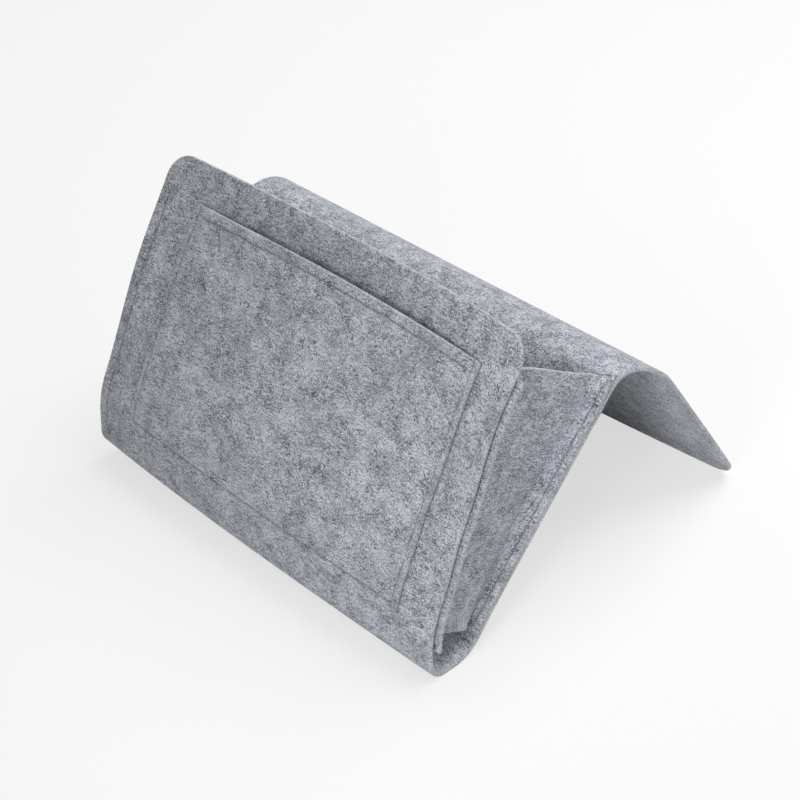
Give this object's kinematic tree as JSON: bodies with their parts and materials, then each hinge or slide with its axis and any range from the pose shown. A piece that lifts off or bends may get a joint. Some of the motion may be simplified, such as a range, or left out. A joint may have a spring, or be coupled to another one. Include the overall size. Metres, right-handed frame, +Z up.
{
  "type": "felt sofa organizer",
  "caption": "Felt sofa organizer: one folded sheet makes a deep gusseted pocket, a rolled crest and a tuck flap, with a patch pocket sewn on the front.",
  "frame": {"origin": "on the floor, under the middle of the organizer's bounding box", "axes": "+X along the width, -Y towards the front panel, +Y towards the tuck flap, +Z up"},
  "size_m": [0.32, 0.2872, 0.2078],
  "materials": {
    "felt": "matte grey melange felt",
    "thread": "matte grey sewing thread"
  },
  "bodies": {
    "back": {"back_panel": "felt", "bottom_fold": "felt", "crest_fold": "felt", "gusset_web_left": "felt", "gusset_rear_flange_left": "felt", "gusset_rear_needle_thread_left": "thread", "gusset_rear_bobbin_thread_left": "thread", "gusset_web_right": "felt", "gusset_rear_flange_right": "felt", "gusset_rear_needle_thread_right": "thread", "gusset_rear_bobbin_thread_right": "thread"},
    "front": {"front_panel": "felt", "patch_pocket": "felt", "patch_seam_needle_thread": "thread", "patch_seam_bobbin_thread": "thread", "patch_hem_needle_thread": "thread", "patch_hem_bobbin_thread": "thread", "gusset_front_flange_left": "felt", "gusset_front_needle_thread_left": "thread", "gusset_front_bobbin_thread_left": "thread", "gusset_front_flange_right": "felt", "gusset_front_needle_thread_right": "thread", "gusset_front_bobbin_thread_right": "thread"},
    "flap": {"tuck_flap": "felt"}
  },
  "joints": [
    {"name": "pocket_fold", "type": "hinge", "parent": "back", "child": "front", "pos_m": [0, -0.12375, 0.0015], "axis": [-1, 0, 0], "range_deg": [-3, 17], "stiffness_Nm_per_rad": 0.17, "springref_deg": -4.7, "deforming": ["bottom_fold", "gusset_web_left", "gusset_web_right"]},
    {"name": "flap_fold", "type": "hinge", "parent": "back", "child": "flap", "pos_m": [0, 0.02849, 0.14327], "axis": [1, 0, 0], "range_deg": [-81, 107], "stiffness_Nm_per_rad": 0.1, "springref_deg": -19.65, "deforming": ["crest_fold"]}
  ]
}
